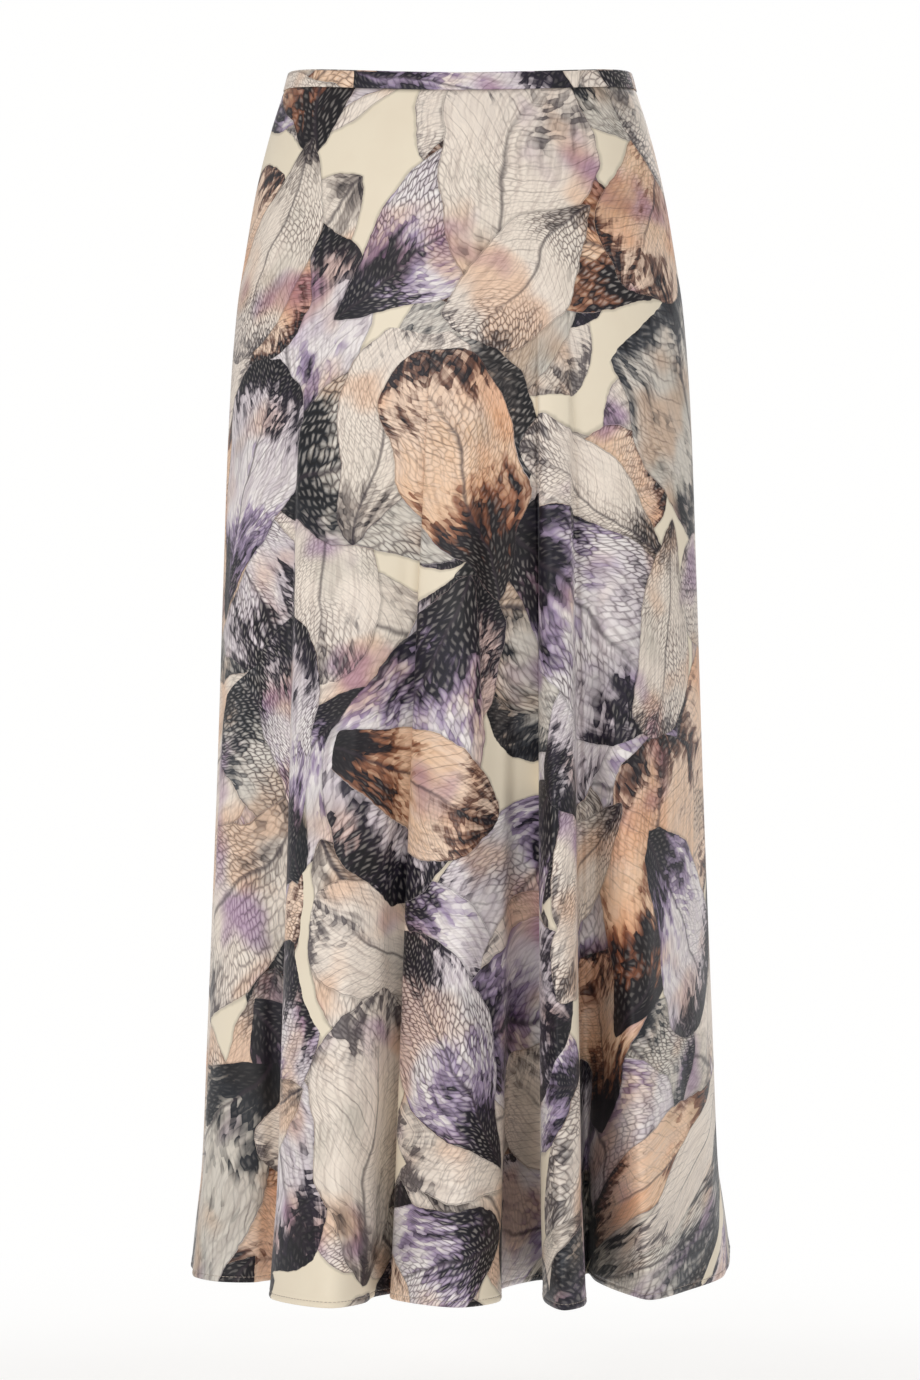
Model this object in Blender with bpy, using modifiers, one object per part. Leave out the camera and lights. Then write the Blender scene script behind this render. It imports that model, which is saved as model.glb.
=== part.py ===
"""Bias-cut midi skirt in its worn shape, open at the waist and at the hem.

Metres, +Z up, front towards -Y. The origin is the centre of the waist, level with
the side waist edge. Run with: blender --background --python part.py
"""
import math
from collections import namedtuple

import bmesh
import bpy
import numpy as np
from mathutils import Matrix

# Driving sizes
LENGTH = 0.886  # waist edge at the side seam down to the hem
BAND_HEIGHT = 0.013
FRONT_DIP = 0.0114  # the waist edge is this much lower at the centre front
BACK_DIP = 0.002
CLOTH = 0.0012
BAND_WALL = 0.0024
BAND_PROUD = 0.0005  # band's outer face stands this far outside the cloth
BAND_EDGE = 0.0004  # bevel on the band's edges
SEAM_GAP = 0.0003
MM = 0.001

# Mesh fineness
FRONT_COLUMNS = 78
BACK_COLUMNS = 66
ROWS = 22
ROW_CROWDING = 1.25  # rows lie closer together near the band
BAND_COLUMNS = 40
HEM_SAMPLES = 4000
BEND_PULL = 0.7  # how much a bend draws columns to it, beside even spacing

# The smooth body of the skirt, without folds: an oval at each drop below the waist edge.
Section = namedtuple("Section", "drop half_width front_depth back_depth")
SECTIONS = [
    Section(0, 127.0, 95, 95),
    Section(12, 130.2, 97, 99),
    Section(43, 139.9, 104, 109),
    Section(88, 151.0, 112, 121),
    Section(132, 158.6, 118, 131),
    Section(176, 165.2, 122, 137),
    Section(243, 170.4, 125, 139),
    Section(369, 175.4, 129, 141),
    Section(532, 181.2, 134, 144),
    Section(709, 188.6, 141, 148),
    Section(812, 193.0, 146, 150),
    Section(850, 197.0, 148, 151),
    Section(886, 200.5, 150, 152),
]

# One row for each fold, at the hem, in mm: x from the centre towards the wearer's left,
# depth out from the side seams' plane. left and right are where the fold is widest, and
# valley is the recess to its right. The three tops are the shares of the half width where
# those lines grow out of the hip. turn is how slanted the fold's sides are, and the fold
# starts at the drop called start. The powers say how late its left and crest, its right side
# and its valley grow: 0.8 is early, and 3 waits for the last hand's width above the hem.
Fold = namedtuple(
    "Fold",
    "name left_x left_depth crest_x crest_depth right_x right_depth valley_x valley_depth "
    "left_top right_top valley_top turn start power right_power valley_power",
)
FRONT_FOLDS = [
    Fold("right hip", -194, 42, -174, 68, -150, 71, -132, 56, -0.95, -0.80, -0.71, 0.5, 290, 0.8, 0.8, 1.4),
    Fold("right front", -132, 162, -90, 206, -68, 182, -42, 125, -0.67, -0.24, -0.14, 0.3, 210, 0.8, 1.1, 1.8),
    Fold("centre front", -48, 160, -2, 203, 26, 177, 60, 58, -0.105, 0.17, 0.31, 0.12, 150, 0.8, 2.2, 3.2),
    Fold("pipe", 60, 180, 72, 217, 86, 197, 94, 22, 0.335, 0.46, 0.50, 0.1, 150, 0.9, 0.9, 3.2),
    Fold("left front", 120, 138, 134, 164, 166, 108, 197, 8, 0.57, 0.83, 0.95, 0.8, 260, 0.9, 0.9, 0.9),
]
BACK_FOLDS = [
    Fold("right back hip", -199, 128, -168, 168, -130, 140, -108, 74, -0.86, -0.66, -0.59, 0.2, 280, 0.9, 0.9, 0.9),
    Fold("right back", -90, 170, -62, 201, -34, 178, -20, 88, -0.50, -0.22, -0.16, 0.15, 220, 0.8, 0.8, 0.8),
    Fold("centre back", -4, 182, 24, 214, 52, 186, 72, 76, -0.09, 0.22, 0.30, 0.15, 180, 0.8, 0.8, 0.9),
    Fold("left back", 86, 172, 112, 200, 142, 162, 160, 96, 0.38, 0.66, 0.74, 0.15, 240, 0.9, 0.9, 1.0),
    Fold("left back hip", 178, 138, 196, 168, 207, 140, 205, 84, 0.80, 0.89, 0.925, 0.3, 380, 1.2, 1.2, 1.2),
]
SEAM_TURN = math.radians(15)  # at the waist the side seams lie this far behind its widest place
SEAM_BACK = 20  # at the hem, in mm, they hang this far behind the hips' widest
SEAM_START = 290
SEAM_POWER = 0.9
SEAM_STRIP = 0.003  # at the hem, the first column of cloth beside a side seam
FOLD_WALL = 0.6  # share of a fold's side that runs straight back before it turns
SIDEWAYS = 0.85  # a fold leans sideways sooner than it stands out
ONSET = 0.12  # share of a fold's length over which it starts softly

# Concealed zip in the wearer's left side seam
ZIP_LENGTH = 0.190
ZIP_TAPE_HALF = 0.011
ZIP_TAPE_THICK = 0.001
SLIDER_WIDTH = 0.0054
SLIDER_HEIGHT = 0.0085
SLIDER_THICK = 0.0016
SLIDER_CHAMFER = 0.0005
SLIDER_DROP = 0.0065  # slider's middle below the waist edge
SLIDER_SPAN = 0.012  # length over which the slider follows the seam's slope
CROWN_WIDTH = 0.0016
CROWN_HALF = 0.0034  # half the crown's height
CROWN_RISE = 0.0024
CROWN_SUNK = 0.0002  # how far the crown reaches into the slider's body
CROWN_CHAMFER = 0.0004
CROWN_OPEN_HALF = 0.0024
CROWN_OPEN_RISE = 0.0017
PULL_PIVOT_RISE = 0.00085  # hinge axis above the slider's face
PULL_BAR = 0.0009
PULL_WINDOW_HALF = 0.0012
PULL_WINDOW_LENGTH = 0.0046
PULL_HALF_TOP = 0.0021
PULL_HALF_END = 0.0030
PULL_LENGTH = 0.0215
PULL_THICK = 0.0009

FINISHES = {
    "print cloth": ((0.56, 0.42, 0.40), 0.50, 0.0),
    "band cloth": ((0.50, 0.38, 0.37), 0.50, 0.0),
    "zip tape": ((0.62, 0.52, 0.50), 0.85, 0.0),
    "zip metal": ((0.72, 0.66, 0.62), 0.35, 0.6),
}


def clear_scene():
    for item in list(bpy.data.objects):
        bpy.data.objects.remove(item, do_unlink=True)


def make_material(name):
    """Principled material from the FINISHES table."""
    colour, roughness, metallic = FINISHES[name]
    material = bpy.data.materials.new(name)
    material.use_nodes = True
    shader = material.node_tree.nodes["Principled BSDF"]
    shader.inputs["Base Color"].default_value = (*colour, 1.0)
    shader.inputs["Roughness"].default_value = roughness
    shader.inputs["Metallic"].default_value = metallic
    return material


def steady_slopes(x, y):
    """Slopes for a cubic through the points that never overshoots them."""
    step = np.diff(y) / np.diff(x)
    slope = np.concatenate([step[:1], np.zeros(len(step) - 1), step[-1:]])
    for i in range(1, len(step)):
        if step[i - 1] * step[i] > 0:
            slope[i] = 2 * step[i - 1] * step[i] / (step[i - 1] + step[i])
    return slope


def cubic(x, y, slope, at):
    """Cubic through the points (x, y) with the given slopes, read at the values in at."""
    at = np.clip(at, x[0], x[-1])
    i = np.clip(np.searchsorted(x, at, side="right") - 1, 0, len(x) - 2)
    width = x[i + 1] - x[i]
    t = (at - x[i]) / width
    rise = (1 + 2 * t) * (1 - t) ** 2 * y[i] + t * t * (3 - 2 * t) * y[i + 1]
    lean = t * (1 - t) ** 2 * slope[i] - t * t * (1 - t) * slope[i + 1]
    return rise + width * lean


def smooth_read(x, y, at):
    """Smooth curve through the points, free to round them."""
    return cubic(x, y, np.gradient(y, x), at)


def section_at(drop, name):
    """One size of the smooth oval, in metres, at a drop in metres."""
    drops = np.array([row.drop for row in SECTIONS], float)
    sizes = np.array([getattr(row, name) for row in SECTIONS], float)
    return MM * cubic(drops, sizes, steady_slopes(drops, sizes), drop / MM)


def wall_foot(edge, valley, turn):
    """Point on a fold's side between its widest place and the valley beside it."""
    x = edge[0] + turn * (valley[0] - edge[0])
    depth = edge[1] + FOLD_WALL * (valley[1] - edge[1])
    share = edge[2] + 0.5 * (valley[2] - edge[2])
    return (x, depth, share)


def half_guides(folds, side):
    """Points that one panel's hem passes through, right side seam to left side seam.

    Each is x, depth, share of the half width at the hip, start and power.
    """
    edge = SECTIONS[-1].half_width
    seam_depth = side * SEAM_BACK
    seam_share = 1.0 if side < 0 else math.cos(SEAM_TURN)
    points = [(-edge, seam_depth, -seam_share, SEAM_START, SEAM_POWER)]
    before, power_before = points[0][:3], SEAM_POWER
    for number, fold in enumerate(folds):
        left = (fold.left_x, fold.left_depth, fold.left_top)
        right = (fold.right_x, fold.right_depth, fold.right_top)
        middle = (fold.crest_x - fold.left_x) / (fold.right_x - fold.left_x)
        crest_top = fold.left_top + middle * (fold.right_top - fold.left_top)
        crest = (fold.crest_x, fold.crest_depth, crest_top)
        valley = (fold.valley_x, fold.valley_depth, fold.valley_top)
        feet = wall_foot(left, before, fold.turn), wall_foot(right, valley, fold.turn)
        powers = (
            (power_before + fold.power) / 2,
            fold.power,
            fold.power,
            fold.right_power,
            (fold.right_power + fold.valley_power) / 2,
        )
        spots = (feet[0], left, crest, right, feet[1])
        points += [(*spot, fold.start, power) for spot, power in zip(spots, powers)]
        after = folds[number + 1] if number + 1 < len(folds) else fold
        points.append((*valley, (fold.start + after.start) / 2, fold.valley_power))
        before, power_before = valley, fold.valley_power
    points.append((edge, seam_depth, seam_share, SEAM_START, SEAM_POWER))
    return points


def ring_guides():
    """The whole hem as one closed run of points, front first, then back round to the start.

    Columns: x, y, angle round the oval from the centre front, start, power.
    """
    ring = []
    for x, depth, share, start, power in half_guides(FRONT_FOLDS, -1)[:-1]:
        ring.append((x, -depth, math.asin(share), start, power))
    for x, depth, share, start, power in half_guides(BACK_FOLDS, 1)[:0:-1]:
        ring.append((x, depth, math.pi - math.asin(share), start, power))
    ring = np.array(ring, float)
    ring[0, 2] -= SEAM_TURN
    return ring


def hem_ring():
    """Reader of the closed hem: the places of its guide points, and a function of place."""
    ring = ring_guides()
    lap = 4  # points repeated past each end, so that the curve closes smoothly
    long = np.concatenate([ring[-lap:], ring, ring[:lap]])
    long[:lap, 2] -= 2 * math.pi
    long[-lap:, 2] += 2 * math.pi
    chords = np.hypot(np.diff(long[:, 0]), np.diff(long[:, 1]))
    place = np.concatenate([[0], np.cumsum(np.sqrt(chords))])
    place -= place[lap]

    def read(at):
        columns = {}
        for number, name in enumerate(("x", "y")):
            columns[name] = MM * smooth_read(place, long[:, number], at)
        for number, name in ((2, "angle"), (3, "start"), (4, "power")):
            values = long[:, number]
            columns[name] = cubic(place, values, steady_slopes(place, values), at)
        return columns

    return place[lap : lap + len(ring) + 1], read


def hem_columns(side, count):
    """Columns of a panel at the hem, closer together where the hem bends."""
    place, read = hem_ring()
    seam = len(half_guides(FRONT_FOLDS, -1)) - 1
    first, last = (0, seam) if side < 0 else (seam, len(place) - 1)
    fine = np.linspace(place[first], place[last], HEM_SAMPLES)
    curve = read(fine)
    run = np.hypot(np.gradient(curve["x"]), np.gradient(curve["y"]))
    heading = np.unwrap(np.arctan2(np.gradient(curve["y"]), np.gradient(curve["x"])))
    bend = np.abs(np.gradient(heading))
    swing = np.abs(np.gradient(curve["angle"]))
    weight = run / run.sum() + BEND_PULL * (bend / bend.sum() + swing / swing.sum())
    travel = np.concatenate([[0], np.cumsum((weight[1:] + weight[:-1]) / 2)])
    chosen = np.interp(np.linspace(0, travel[-1], count - 1), travel, fine)
    along = np.cumsum(run)
    near = np.interp([SEAM_STRIP, along[-1] - SEAM_STRIP], along, fine)
    return read(np.sort(np.concatenate([chosen, near])))


def fold_growth(drop, start, power):
    """How far a fold has grown, from 0 where it starts to 1 at the hem."""
    reach = np.clip((drop - start) / (LENGTH - start), 0, 1)
    soft = reach * reach / (reach + ONSET) * (1 + ONSET)
    return soft ** power


def oval(drop, angle):
    """Point of the smooth oval at a drop and an angle from the centre front."""
    front = np.cos(angle) >= 0
    depth = np.where(front, section_at(drop, "front_depth"), section_at(drop, "back_depth"))
    return section_at(drop, "half_width") * np.sin(angle), -depth * np.cos(angle)


def waist_dip(angle):
    """How much lower the waist edge is than at the side seams."""
    dip = np.where(np.cos(angle) >= 0, FRONT_DIP, BACK_DIP)
    return dip * np.cos(angle) ** 2


def panel_surface(columns, rows):
    """Outer face of a panel as a grid of points, rows from the band down to the hem."""
    angle = columns["angle"]
    dip = waist_dip(angle)
    top = BAND_HEIGHT + SEAM_GAP + dip
    hem_x, hem_y = oval(np.full(len(angle), LENGTH), angle)
    grid = np.zeros((rows + 1, len(angle), 3))
    for row in range(rows + 1):
        share = (row / rows) ** ROW_CROWDING
        drop = top + share * (LENGTH - top)
        x, y = oval(drop - dip * (1 - share), angle)
        grown = fold_growth(drop, columns["start"] * MM, columns["power"])
        grid[row, :, 0] = x + grown**SIDEWAYS * (columns["x"] - hem_x)
        grid[row, :, 1] = y + grown * (columns["y"] - hem_y)
        grid[row, :, 2] = -drop
    return grid


def band_surface(side, count):
    """Outer face of one panel's part of the waistband, three points high."""
    middle = 0 if side < 0 else math.pi
    reach = math.pi / 2 - side * SEAM_TURN
    angle = middle + np.linspace(-reach, reach, count + 1)
    grid = np.zeros((3, count + 1, 3))
    for row in range(3):
        level = np.full(count + 1, BAND_HEIGHT * row / 2)
        x, y = oval(level, angle)
        grid[row, :, 0] = x + BAND_PROUD * np.sin(angle)
        grid[row, :, 1] = y - BAND_PROUD * np.cos(angle)
        grid[row, :, 2] = -level - waist_dip(angle)
    return grid


def open_side_seams(grid):
    """Draw a panel's two side edges in by half the seam gap each."""
    for edge, beside in ((0, 1), (-1, -2)):
        inward = grid[:, beside] - grid[:, edge]
        grid[:, edge] += SEAM_GAP / 2 * inward / np.linalg.norm(inward, axis=1, keepdims=True)
    return grid


def cloth_object(name, grid, wall, material, bevel=0.0):
    """Sheet of quads through the grid, thickened inwards from its outer face."""
    rows, count = grid.shape[:2]
    mesh = bpy.data.meshes.new(name)
    cage = bmesh.new()
    points = [[cage.verts.new(grid[r, c]) for c in range(count)] for r in range(rows)]
    for r in range(rows - 1):
        for c in range(count - 1):
            cage.faces.new([points[r][c], points[r + 1][c], points[r + 1][c + 1], points[r][c + 1]])
    cage.to_mesh(mesh)
    cage.free()
    sheet = bpy.data.objects.new(name, mesh)
    mesh.materials.append(material)
    mesh.shade_smooth()
    solid = sheet.modifiers.new("cloth thickness", "SOLIDIFY")
    solid.thickness = wall
    solid.offset = -1
    if bevel:
        edges = sheet.modifiers.new("soft edges", "BEVEL")
        edges.width = bevel
        edges.segments = 1
        edges.limit_method = "ANGLE"
        edges.angle_limit = math.radians(60)
    return sheet


def seam_height_frame(drop):
    """Place on the wearer's left side seam, with x outward and z up along the seam."""
    angle = math.pi / 2 + SEAM_TURN
    x, y = oval(drop, angle)
    x_below, y_below = oval(drop + SLIDER_SPAN, angle)
    out_x = math.sin(angle) / section_at(drop, "half_width")
    out_y = -math.cos(angle) / section_at(drop, "back_depth")
    turn = math.atan2(out_y, out_x)
    wider = (x_below - x) * math.cos(turn) + (y_below - y) * math.sin(turn)
    lean = math.atan2(wider, SLIDER_SPAN)
    upright = Matrix.Translation((x, y, -drop)) @ Matrix.Rotation(turn, 4, "Z")
    return upright @ Matrix.Rotation(lean, 4, "Y").inverted()


def box_mesh(size, centre):
    """Box as a bmesh."""
    cage = bmesh.new()
    bmesh.ops.create_cube(cage, size=1.0)
    bmesh.ops.scale(cage, vec=size, verts=cage.verts)
    bmesh.ops.translate(cage, vec=centre, verts=cage.verts)
    return cage


def mesh_object(name, cage, material):
    mesh = bpy.data.meshes.new(name)
    cage.to_mesh(mesh)
    cage.free()
    item = bpy.data.objects.new(name, mesh)
    if material:
        mesh.materials.append(material)
    return item


def make_zip_tape(collection, material, front, back):
    """Tape behind both edges of the left side seam, made from the panels' points moved in."""
    rows = int(np.sum(-front[:, -1, 2] < ZIP_LENGTH))
    across = np.linspace(-ZIP_TAPE_HALF, ZIP_TAPE_HALF, 9)
    grid = np.zeros((rows, len(across), 3))
    for row in range(rows):
        line = np.concatenate([front[row, -8:], back[row, :8]])
        steps = np.linalg.norm(np.diff(line, axis=0), axis=1)
        along = np.concatenate([[0], np.cumsum(steps)])
        along -= along[7]
        points = np.array([np.interp(across, along, line[:, axis]) for axis in range(3)])
        ahead = np.gradient(points, axis=1)
        outward = np.array([ahead[1], -ahead[0]]) / np.hypot(ahead[0], ahead[1])
        drop = -front[row, -1, 2]
        slope = (section_at(drop + MM, "half_width") - section_at(drop, "half_width")) / MM
        inset = (CLOTH + 1.5 * SEAM_GAP) * math.hypot(1, slope)
        points[:2] -= inset * outward
        grid[row] = points.T
    grid[0, :, 2] -= ZIP_TAPE_THICK
    tape = cloth_object("zip_tape", grid, ZIP_TAPE_THICK, material)
    collection.objects.link(tape)


def slider_cage():
    """Slider's body: a small block with chamfered edges."""
    cage = box_mesh((SLIDER_THICK, SLIDER_WIDTH, SLIDER_HEIGHT), (SLIDER_THICK / 2, 0, 0))
    outer = [edge for edge in cage.edges if all(v.co.x > SLIDER_THICK / 2 for v in edge.verts)]
    bmesh.ops.bevel(cage, geom=outer, offset=SLIDER_CHAMFER, segments=2, affect="EDGES", profile=0.5)
    return cage


def make_slider(collection, helpers, place, material):
    """Slider with the crown that the pull hangs from."""
    slider = mesh_object("zip_slider", slider_cage(), material)
    rise = CROWN_RISE
    crown_size = (rise + 2 * CROWN_SUNK, CROWN_WIDTH, 2 * CROWN_HALF)
    crown = box_mesh(crown_size, (SLIDER_THICK + rise / 2 - CROWN_SUNK, 0, 0))
    far = [edge for edge in crown.edges if all(v.co.x > SLIDER_THICK + rise / 2 for v in edge.verts)]
    bmesh.ops.bevel(crown, geom=far, offset=CROWN_CHAMFER, segments=2, affect="EDGES", profile=0.5)
    opening_size = (CROWN_OPEN_RISE, 2 * CROWN_WIDTH, 2 * CROWN_OPEN_HALF)
    opening = box_mesh(opening_size, (SLIDER_THICK + CROWN_OPEN_RISE / 2, 0, 0))
    crown_object = mesh_object("crown", crown, None)
    opening_object = mesh_object("crown opening", opening, None)
    for helper in (crown_object, opening_object):
        helper.hide_render = True
        helper.display_type = "WIRE"
        helpers.objects.link(helper)
        helper.matrix_world = place
    for helper, work in ((crown_object, "UNION"), (opening_object, "DIFFERENCE")):
        step = slider.modifiers.new(helper.name, "BOOLEAN")
        step.operation = work
        step.object = helper
    collection.objects.link(slider)
    slider.matrix_world = place


def pull_outline():
    """Outer outline of the pull, in its own plane: y across, z up, hinge axis at z = 0."""
    top = PULL_BAR / 2
    tip_radius = PULL_HALF_END
    tip_centre = top - PULL_LENGTH + tip_radius
    outline = [(-PULL_HALF_TOP, top), (PULL_HALF_TOP, top), (PULL_HALF_TOP, -PULL_WINDOW_LENGTH)]
    for step in range(9):
        turn = math.pi * step / 8
        outline.append((tip_radius * math.cos(turn), tip_centre - tip_radius * math.sin(turn)))
    outline.append((-PULL_HALF_TOP, -PULL_WINDOW_LENGTH))
    return outline


def pull_window():
    """Hole in the pull that lets the crown through."""
    top = -PULL_BAR / 2
    low = top - PULL_WINDOW_LENGTH + PULL_BAR
    half = PULL_WINDOW_HALF
    return [(-half, top), (half, top), (half, low), (-half, low)]


def make_pull(collection, place, material):
    """Flat drop-shaped pull, its top bar threaded through the crown."""
    curve = bpy.data.curves.new("zip_pull", "CURVE")
    curve.dimensions = "2D"
    curve.fill_mode = "BOTH"
    curve.extrude = PULL_THICK / 2
    for outline in (pull_outline(), pull_window()):
        line = curve.splines.new("POLY")
        line.points.add(len(outline) - 1)
        for point, (across, up) in zip(line.points, outline):
            point.co = (across, up, 0, 1)
        line.use_cyclic_u = True
    shape = bpy.data.objects.new("zip_pull shape", curve)
    collection.objects.link(shape)
    bpy.context.view_layer.update()
    seen = shape.evaluated_get(bpy.context.evaluated_depsgraph_get())
    mesh = bpy.data.meshes.new_from_object(seen)
    bpy.data.objects.remove(shape, do_unlink=True)
    cage = bmesh.new()
    cage.from_mesh(mesh)
    bmesh.ops.remove_doubles(cage, verts=cage.verts, dist=0.00001)
    cage.to_mesh(mesh)
    cage.free()
    mesh.materials.clear()
    mesh.materials.append(material)
    pull = bpy.data.objects.new("zip_pull", mesh)
    collection.objects.link(pull)
    stand = Matrix(((0, 0, 1, 0), (1, 0, 0, 0), (0, 1, 0, 0), (0, 0, 0, 1)))
    pull.matrix_world = place @ Matrix.Translation((SLIDER_THICK + PULL_PIVOT_RISE, 0, 0)) @ stand


def main():
    clear_scene()
    skirt = bpy.data.collections.new("midi skirt")
    helpers = bpy.data.collections.new("cutters")
    bpy.context.scene.collection.children.link(skirt)
    bpy.context.scene.collection.children.link(helpers)
    materials = {name: make_material(name) for name in FINISHES}
    panels = {}
    for name, side, count in (("front", -1, FRONT_COLUMNS), ("back", 1, BACK_COLUMNS)):
        panels[name] = open_side_seams(panel_surface(hem_columns(side, count), ROWS))
        cloth = cloth_object(name, panels[name], CLOTH, materials["print cloth"])
        skirt.objects.link(cloth)
        band = open_side_seams(band_surface(side, BAND_COLUMNS))
        finish = materials["band cloth"]
        strip = cloth_object("waistband_" + name, band, BAND_WALL, finish, bevel=BAND_EDGE)
        skirt.objects.link(strip)
    make_zip_tape(skirt, materials["zip tape"], panels["front"], panels["back"])
    on_band = Matrix.Translation((BAND_PROUD + SEAM_GAP, 0, 0))
    place = seam_height_frame(SLIDER_DROP) @ on_band
    make_slider(skirt, helpers, place, materials["zip metal"])
    make_pull(skirt, place, materials["zip metal"])


main()
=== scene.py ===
# %% [markdown]
# # A bias-cut midi skirt
#
# The skirt is worn by nobody, but it keeps its worn, hollow shape: smooth over the hips, then
# falling in deep folds to a wide hem. Two panels of printed satin crepe, cut on the bias, hang
# from a narrow waistband, and a concealed zip closes the wearer's left side. The frame holds
# the plain solids of those pieces, and every cell below dresses one of them.
#
# All sizes are metres, unless a name or a heading says millimetres. Up is +Z, the front of the
# skirt faces -Y, and the wearer's left is +X.

# %% Load the frame
import math
from collections import namedtuple

import bmesh
import bpy
import numpy as np
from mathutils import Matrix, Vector


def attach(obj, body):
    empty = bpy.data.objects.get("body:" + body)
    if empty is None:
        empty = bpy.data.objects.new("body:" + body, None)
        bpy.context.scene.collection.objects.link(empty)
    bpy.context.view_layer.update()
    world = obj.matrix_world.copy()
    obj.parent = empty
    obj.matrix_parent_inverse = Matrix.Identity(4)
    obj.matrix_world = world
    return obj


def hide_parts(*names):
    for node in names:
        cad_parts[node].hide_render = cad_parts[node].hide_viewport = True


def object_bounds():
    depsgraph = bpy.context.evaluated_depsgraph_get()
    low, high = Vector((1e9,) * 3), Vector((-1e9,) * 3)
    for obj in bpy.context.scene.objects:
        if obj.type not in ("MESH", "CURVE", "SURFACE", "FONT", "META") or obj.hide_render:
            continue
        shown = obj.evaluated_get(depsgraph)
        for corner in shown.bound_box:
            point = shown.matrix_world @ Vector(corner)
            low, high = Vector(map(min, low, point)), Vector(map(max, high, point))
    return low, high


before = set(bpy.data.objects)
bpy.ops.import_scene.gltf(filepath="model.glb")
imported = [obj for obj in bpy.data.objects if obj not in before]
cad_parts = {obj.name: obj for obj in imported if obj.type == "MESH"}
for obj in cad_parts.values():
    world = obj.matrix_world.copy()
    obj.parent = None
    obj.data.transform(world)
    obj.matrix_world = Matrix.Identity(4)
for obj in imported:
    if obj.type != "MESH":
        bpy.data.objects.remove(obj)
cad_low, cad_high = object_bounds()
print("frame box", [round(v, 4) for v in (*cad_low, *cad_high)])
MM = 0.001

# %% [markdown]
# ## The camera
#
# The picture was taken level, from in front and from some way off. A pixel of it is 0.74 mm of
# skirt at the side seams, so the lens follows from the picture's height and the distance.

# %% Camera
PICTURE_HEIGHT = 1380
PIXEL = 0.7412 * MM
CAMERA_DISTANCE = 3.3
CAMERA_LEVEL = -0.4563
SENSOR = 36

lens = bpy.data.cameras.new("camera")
lens.sensor_fit = "AUTO"
lens.sensor_width = SENSOR
lens.lens = SENSOR * CAMERA_DISTANCE / (PICTURE_HEIGHT * PIXEL)
camera = bpy.data.objects.new("camera", lens)
camera.location = (0, -CAMERA_DISTANCE, CAMERA_LEVEL)
camera.rotation_euler = (math.pi / 2, 0, 0)
bpy.context.scene.collection.objects.link(camera)
bpy.context.scene.camera = camera
print("lens", round(lens.lens, 1), "mm")

# %% [markdown]
# ## Nodes in few words
#
# Every finish is a tree of nodes. These helpers make a node, link or set its inputs and hand
# back the socket that the next node needs, so that a finish reads like the sum that it is.

# %% Node helpers
def feed(tree, node, **inputs):
    """Set or link inputs, each named with _ for a space, or by its number after an _."""
    for name, value in inputs.items():
        socket = node.inputs[int(name[1:]) if name[0] == "_" else name.replace("_", " ")]
        if isinstance(value, bpy.types.NodeSocket):
            tree.links.new(value, socket)
        else:
            socket.default_value = value


def add_node(tree, kind, settings=None, **inputs):
    """New node with its settings and inputs."""
    node = tree.nodes.new(kind)
    for name, value in (settings or {}).items():
        setattr(node, name, value)
    feed(tree, node, **inputs)
    return node


def calc(tree, operation, a, b=0.0, c=0.0):
    """One step of arithmetic on numbers."""
    return add_node(tree, "ShaderNodeMath", {"operation": operation}, _0=a, _1=b, _2=c).outputs[0]


def times(tree, a, b):
    return calc(tree, "MULTIPLY", a, b)


def calc_vector(tree, operation, a, b=(0.0, 0.0, 0.0)):
    """One step of arithmetic on vectors."""
    return add_node(tree, "ShaderNodeVectorMath", {"operation": operation}, _0=a, _1=b).outputs[0]


def stretch(tree, vector, scale):
    """A vector times a number."""
    settings = {"operation": "SCALE"}
    return add_node(tree, "ShaderNodeVectorMath", settings, _0=vector, Scale=scale).outputs[0]


def ease(tree, value, low, high, out_low=0.0, out_high=1.0):
    """Soft step from out_low to out_high, while value goes from low to high."""
    settings = {"interpolation_type": "SMOOTHSTEP"}
    node = add_node(tree, "ShaderNodeMapRange", settings, Value=value, _1=low, _2=high,
                    _3=out_low, _4=out_high)
    return node.outputs[0]


def pack(tree, x, y, z=0.0):
    """Three numbers as one vector."""
    return add_node(tree, "ShaderNodeCombineXYZ", X=x, Y=y, Z=z).outputs[0]


def unpack(tree, vector):
    """The three numbers of a vector."""
    return add_node(tree, "ShaderNodeSeparateXYZ", Vector=vector).outputs


def mix_colour(tree, share, below, above, how="MIX"):
    settings = {"data_type": "RGBA", "blend_type": how}
    return add_node(tree, "ShaderNodeMix", settings, _0=share, _6=below, _7=above).outputs[2]


def mix_vector(tree, share, below, above):
    settings = {"data_type": "VECTOR"}
    return add_node(tree, "ShaderNodeMix", settings, _0=share, _4=below, _5=above).outputs[1]


def noise(tree, vector, scale, detail=2.0, output=0):
    """Cloudy texture: output 0 is a number, and output 1 is three of them as a colour."""
    node = add_node(tree, "ShaderNodeTexNoise", Vector=vector, Scale=scale, Detail=detail)
    return node.outputs[output]


def patches(tree, vector, scale, low=0.3, high=0.7, detail=2.0, ends=(0.0, 1.0)):
    """Soft patches: the first end where the texture is below low, the second above high."""
    return ease(tree, noise(tree, vector, scale, detail), low, high, *ends)


def cells(tree, vector, loose, feature="F1"):
    """Flat texture of cells, from straight squares at loose 0 to wild ones at 1."""
    settings = {"voronoi_dimensions": "2D", "feature": feature}
    inputs = {"Vector": vector, "Scale": 1.0, "Randomness": loose}
    return add_node(tree, "ShaderNodeTexVoronoi", settings, **inputs).outputs


def on_object(tree):
    """Place on the object, in metres."""
    return add_node(tree, "ShaderNodeTexCoord").outputs["Object"]


def bump(tree, height, strength, distance):
    """Normal of a surface with small heights on it."""
    inputs = {"Height": height, "Strength": strength, "Distance": distance}
    return add_node(tree, "ShaderNodeBump", **inputs).outputs[0]


def turned(tree, vector, angle):
    """A vector turned about Z by an angle in radians."""
    settings = {"rotation_type": "Z_AXIS"}
    return add_node(tree, "ShaderNodeVectorRotate", settings, Vector=vector, Angle=angle).outputs[0]


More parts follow.
